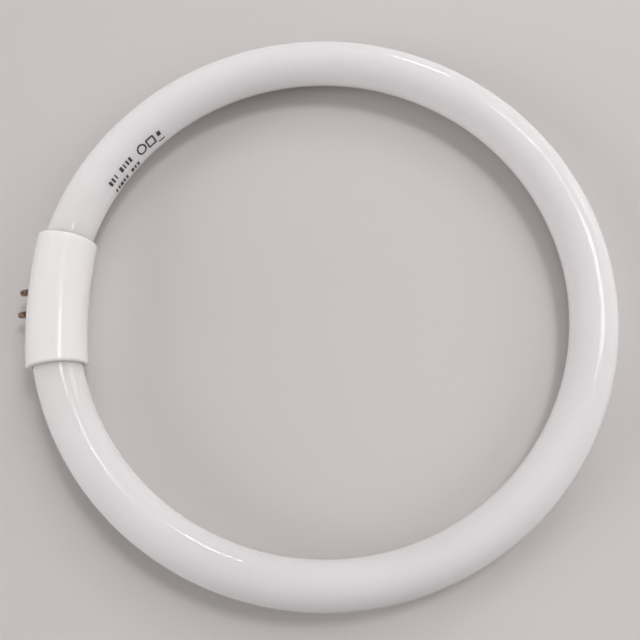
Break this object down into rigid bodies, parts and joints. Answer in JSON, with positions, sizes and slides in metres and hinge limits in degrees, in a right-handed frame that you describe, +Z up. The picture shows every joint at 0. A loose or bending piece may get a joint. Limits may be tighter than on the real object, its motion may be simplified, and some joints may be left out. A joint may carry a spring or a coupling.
{
  "type": "circular fluorescent tube",
  "caption": "White ring-shaped fluorescent lamp whose glass ends meet in a short moulded sleeve with contact pins",
  "frame": {"origin": "centre of the ring, on the tube's centreline", "axes": "+Z up out of the ring's plane, base sleeve at -X with its pins pointing out and down, +Y along the sleeve"},
  "size_m": [0.2076, 0.202, 0.0202],
  "materials": {
    "coated_glass": "gloss",
    "base_plastic": "gloss",
    "pin_metal": "satin",
    "lead_metal": "satin"
  },
  "bodies": {
    "root": {"glass_tube": "coated_glass", "base_upper_shell": "base_plastic", "base_lower_shell": "base_plastic", "contact_pin_1": "pin_metal", "contact_pin_2": "pin_metal", "contact_pin_3": "pin_metal", "contact_pin_4": "pin_metal", "lead_wire_1": "lead_metal", "lead_wire_2": "lead_metal", "lead_wire_3": "lead_metal", "lead_wire_4": "lead_metal"}
  },
  "joints": []
}
